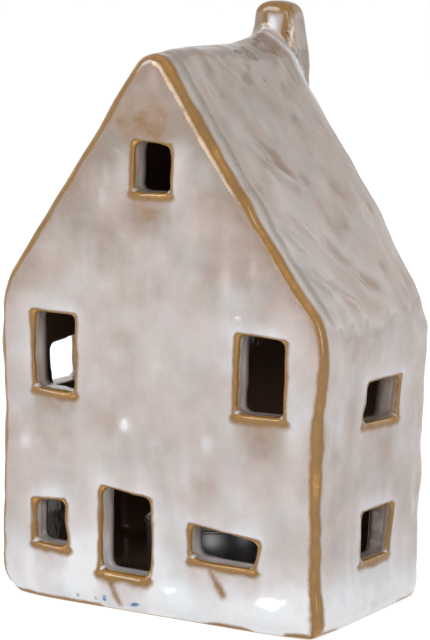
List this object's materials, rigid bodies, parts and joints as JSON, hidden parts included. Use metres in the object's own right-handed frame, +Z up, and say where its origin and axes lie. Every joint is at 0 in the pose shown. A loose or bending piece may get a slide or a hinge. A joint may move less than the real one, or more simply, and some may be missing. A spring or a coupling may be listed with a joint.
{
  "type": "tealight house",
  "caption": "Gabled stoneware house with hand-cut windows, a door and a chimney, with a tealight inside that slides out through the arch at the back.",
  "frame": {"origin": "middle of the flat underside of the house, where it stands on the table", "axes": "+Z up along the height, -Y towards the front gable with the door, +Y towards the back with the chimney"},
  "size_m": [0.11, 0.0734, 0.1768],
  "materials": {
    "glazed_stoneware": "glossy milky grey glaze, breaking amber on the edges",
    "cup_aluminium": "bright pressed",
    "paraffin_wax": "satin, slightly translucent",
    "cotton_wick": "braided, waxed",
    "tinned_steel": "bright tinned"
  },
  "bodies": {
    "house": {"front_wall": "glazed_stoneware", "back_wall": "glazed_stoneware", "left_wall": "glazed_stoneware", "right_wall": "glazed_stoneware", "left_roof": "glazed_stoneware", "right_roof": "glazed_stoneware", "floor_slab": "glazed_stoneware", "chimney": "glazed_stoneware"},
    "tealight": {"candle_cup": "cup_aluminium", "candle_wax": "paraffin_wax", "wick": "cotton_wick", "wick_clip": "tinned_steel"}
  },
  "joints": [
    {"name": "tealight_slide", "type": "slide", "parent": "house", "child": "tealight", "axis": [0, 1, 0], "range_m": [0, 0.06]}
  ]
}
